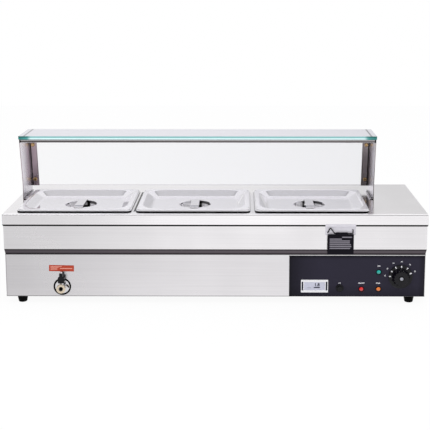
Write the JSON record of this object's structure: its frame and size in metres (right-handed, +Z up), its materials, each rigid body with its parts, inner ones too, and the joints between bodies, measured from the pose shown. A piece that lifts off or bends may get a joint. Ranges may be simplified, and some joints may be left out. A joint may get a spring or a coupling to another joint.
{
  "type": "countertop food warmer",
  "caption": "Long countertop wet-heat food warmer with lift-out pans, lift-off lids, a glass guard and shelf, a control panel with dial and lamps, and a drain valve.",
  "frame": {"origin": "middle of the footprint, on the worktop under the feet", "axes": "+X to the right, +Y to the back, +Z up; the controls face -Y"},
  "size_m": [1.2, 0.44, 0.457],
  "materials": {
    "brushed_steel": "satin brushed",
    "polished_steel": "polished",
    "element_steel": "satin",
    "clear_glass": "polished",
    "window": "polished",
    "black_rubber": "matt",
    "panel_paint": "satin",
    "black_plastic": "gloss",
    "grey_plastic": "matt",
    "clip_plastic": "gloss",
    "red_plastic": "gloss",
    "red_lens": "gloss",
    "orange_lens": "gloss",
    "green_lens": "gloss",
    "white_plastic": "gloss",
    "dark_wire": "satin",
    "bright_metal": "polished",
    "brass": "polished"
  },
  "bodies": {
    "cabinet": {"bar_caps": "black_plastic", "base_plate": "brushed_steel", "button_collar": "black_plastic", "control_panel": "panel_paint", "cord_gland": "black_plastic", "deck_seal": "black_rubber", "drain_pipe": "brushed_steel", "drain_plate": "red_plastic", "drain_rosette": "polished_steel", "drain_seal": "black_rubber", "foot_front_left": "black_rubber", "foot_front_right": "black_rubber", "foot_rear_left": "black_rubber", "foot_rear_right": "black_rubber", "foot_screws": "bright_metal", "front_panel": "brushed_steel", "heating_element": "element_steel", "lamp_collars": "dark_wire", "lamp_green": "green_lens", "lamp_orange": "orange_lens", "lamp_red": "red_lens", "lower_housing": "brushed_steel", "meter_bezel": "white_plastic", "meter_window": "window", "outlet_nut": "brass", "pan_bars": "polished_steel", "pane_bolts": "brass", "post_screws": "bright_metal", "rear_pane": "clear_glass", "sensor": "brass", "shelf_bar": "polished_steel", "shelf_glass": "clear_glass", "tag_clip": "clip_plastic", "tag_wire": "dark_wire", "tank_bushings": "black_rubber", "terminal_block": "grey_plastic", "thermostat": "grey_plastic", "top_deck": "polished_steel", "upper_housing": "brushed_steel", "upright_left": "polished_steel", "upright_right": "polished_steel", "valve_body": "bright_metal", "water_tank": "polished_steel"},
    "pan_left_body": {"pan_left": "polished_steel"},
    "lid_left_body": {"lid_left": "polished_steel", "lid_strap_left": "polished_steel"},
    "pan_middle_body": {"pan_middle": "polished_steel"},
    "lid_middle_body": {"lid_middle": "polished_steel", "lid_strap_middle": "polished_steel"},
    "pan_right_body": {"pan_right": "polished_steel"},
    "lid_right_body": {"lid_right": "polished_steel", "lid_strap_right": "polished_steel"},
    "dial": {"dial_knob": "black_plastic", "dial_cap": "bright_metal", "dial_shaft": "bright_metal"},
    "valve": {"valve_handle": "black_plastic", "valve_stem": "bright_metal", "valve_ball": "bright_metal"},
    "button": {"reset_button": "black_plastic"},
    "card": {"tag_card": "black_plastic"}
  },
  "joints": [
    {"name": "pan_left_lift", "type": "slide", "parent": "cabinet", "child": "pan_left_body", "axis": [0, -0.0785, 0.9969], "range_m": [0, 0.155]},
    {"name": "lid_left_lift", "type": "slide", "parent": "pan_left_body", "child": "lid_left_body", "axis": [0, -0.7071, 0.7071], "range_m": [0, 0.2]},
    {"name": "pan_middle_lift", "type": "slide", "parent": "cabinet", "child": "pan_middle_body", "axis": [0, -0.0785, 0.9969], "range_m": [0, 0.155]},
    {"name": "lid_middle_lift", "type": "slide", "parent": "pan_middle_body", "child": "lid_middle_body", "axis": [0, -0.7071, 0.7071], "range_m": [0, 0.2]},
    {"name": "pan_right_lift", "type": "slide", "parent": "cabinet", "child": "pan_right_body", "axis": [0, -0.0785, 0.9969], "range_m": [0, 0.155]},
    {"name": "lid_right_lift", "type": "slide", "parent": "pan_right_body", "child": "lid_right_body", "axis": [0, -0.7071, 0.7071], "range_m": [0, 0.2]},
    {"name": "dial_turn", "type": "hinge", "parent": "cabinet", "child": "dial", "pos_m": [0.5245, -0.205, 0.08], "axis": [0, 1, 0], "range_deg": [0, 270]},
    {"name": "valve_turn", "type": "hinge", "parent": "cabinet", "child": "valve", "pos_m": [-0.4355, -0.2075, 0.065], "axis": [0, 0, 1], "range_deg": [0, 90]},
    {"name": "button_press", "type": "slide", "parent": "cabinet", "child": "button", "axis": [0, 1, 0], "range_m": [0, 0.0025], "stiffness_N_per_m": 300, "springref_m": -0.002},
    {"name": "card_swing", "type": "hinge", "parent": "cabinet", "child": "card", "pos_m": [0.353, -0.203, 0.207], "axis": [-1, 0, 0], "range_deg": [0, 80]}
  ]
}
